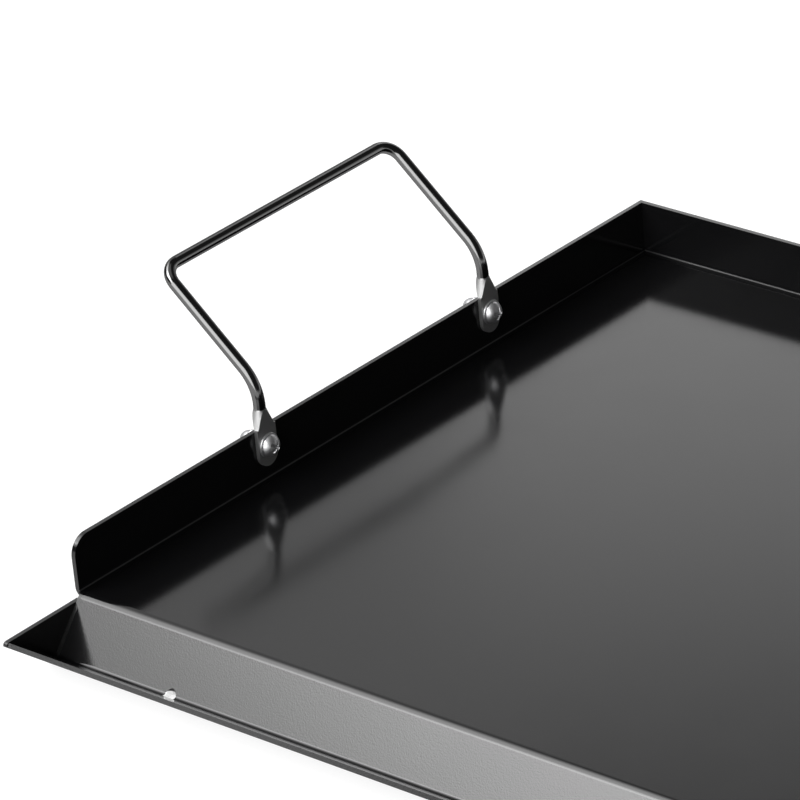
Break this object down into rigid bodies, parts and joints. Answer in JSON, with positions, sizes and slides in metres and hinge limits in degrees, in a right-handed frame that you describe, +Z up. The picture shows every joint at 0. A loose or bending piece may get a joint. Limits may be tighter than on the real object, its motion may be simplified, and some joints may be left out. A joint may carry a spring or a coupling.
{
  "type": "camp griddle plate",
  "caption": "Flat black-coated steel griddle plate with raised side and back walls, a V grease gutter with a drain hole at the front and bent steel wire handles on the sides.",
  "frame": {"origin": "middle of the cooking deck's flat underside, which rests on the stove", "axes": "+X along the front edge to the right, +Y to the back wall, +Z up"},
  "size_m": [0.7068, 0.4063, 0.1084],
  "materials": {
    "black_coating": "semi-gloss black coating with a fine grain",
    "handle_wire": "polished stainless steel",
    "screw": "bright",
    "washer": "bright",
    "cap_nut": "bright"
  },
  "bodies": {
    "root": {"griddle_pan": "black_coating", "gutter_end_left": "black_coating", "gutter_end_right": "black_coating", "handle_left": "handle_wire", "handle_right": "handle_wire", "screw_left_front": "screw", "screw_left_back": "screw", "screw_right_front": "screw", "screw_right_back": "screw", "washer_left_front": "washer", "washer_left_back": "washer", "washer_right_front": "washer", "washer_right_back": "washer", "cap_nut_left_front": "cap_nut", "cap_nut_left_back": "cap_nut", "cap_nut_right_front": "cap_nut", "cap_nut_right_back": "cap_nut"}
  },
  "joints": []
}
